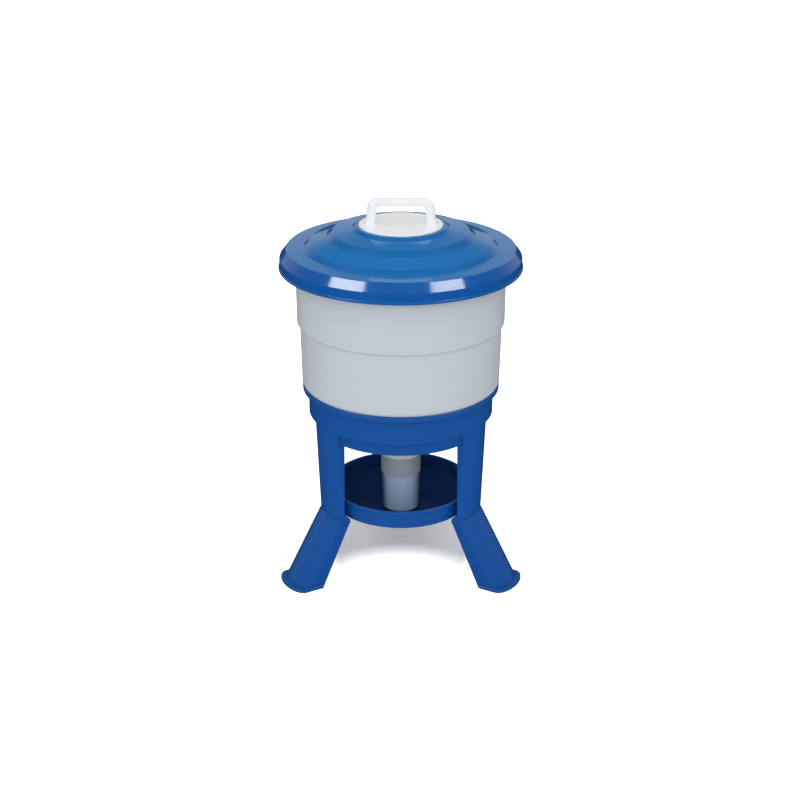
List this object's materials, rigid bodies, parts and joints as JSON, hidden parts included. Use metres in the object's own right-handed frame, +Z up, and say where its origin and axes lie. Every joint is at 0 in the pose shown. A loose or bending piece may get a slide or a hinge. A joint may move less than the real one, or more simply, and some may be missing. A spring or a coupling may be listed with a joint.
{
  "type": "poultry feeder",
  "caption": "Gravity feeder: covered round hopper on a three-legged stand, with an adjustable down tube that meters dry feed into a shallow round pan.",
  "frame": {"origin": "on the floor, on the vertical axis through hopper, tube and pan: the centre of the circle through the three feet", "axes": "+Z up; +Y towards the rear leg; the two other legs stand 30 degrees below -X and +X; the handle's loop runs along X"},
  "size_m": [0.4426, 0.4588, 0.6956],
  "materials": {
    "blue_plastic": "moulded, satin gloss",
    "hopper_plastic": "moulded, soft satin",
    "white_plastic": "moulded, gloss",
    "grey_plastic": "extruded and moulded, satin",
    "collar_plastic": "moulded, satin",
    "rubber_seal": "matte",
    "steel": "zinc plated"
  },
  "bodies": {
    "stand": {"stand_ring": "blue_plastic", "column_left": "blue_plastic", "column_right": "blue_plastic", "column_rear": "blue_plastic", "foot_left": "blue_plastic", "foot_right": "blue_plastic", "foot_rear": "blue_plastic", "column_screws": "steel", "leg_bolts": "steel", "leg_nuts": "steel", "feed_pan": "blue_plastic", "spreader_cone": "blue_plastic", "cone_screw": "steel"},
    "hopper": {"hopper_tank": "hopper_plastic", "outlet_spigot": "grey_plastic", "spigot_gasket": "rubber_seal", "spigot_nut": "hopper_plastic", "collar_clip": "steel"},
    "collar": {"dosing_collar": "collar_plastic"},
    "tube": {"feed_tube": "grey_plastic"},
    "lid": {"lid_shell": "blue_plastic", "lid_handle": "white_plastic", "handle_screws": "steel"}
  },
  "joints": [
    {"name": "hopper_lift", "type": "slide", "parent": "stand", "child": "hopper", "axis": [0, 0, 1], "range_m": [0, 0.3]},
    {"name": "lid_lift", "type": "slide", "parent": "hopper", "child": "lid", "axis": [0, 0, 1], "range_m": [0, 0.2]},
    {"name": "collar_turn", "type": "hinge", "parent": "hopper", "child": "collar", "pos_m": [0, 0, 0.224], "axis": [0, 0, 1], "range_deg": [-360, 840]},
    {"name": "tube_feed", "type": "slide", "parent": "hopper", "child": "tube", "axis": [0, 0, 1], "range_m": [-0.006, 0.014]}
  ],
  "couplings": [
    {"joint": "tube_feed", "follows": "collar_turn", "m_per_rad": 0.00095492}
  ]
}
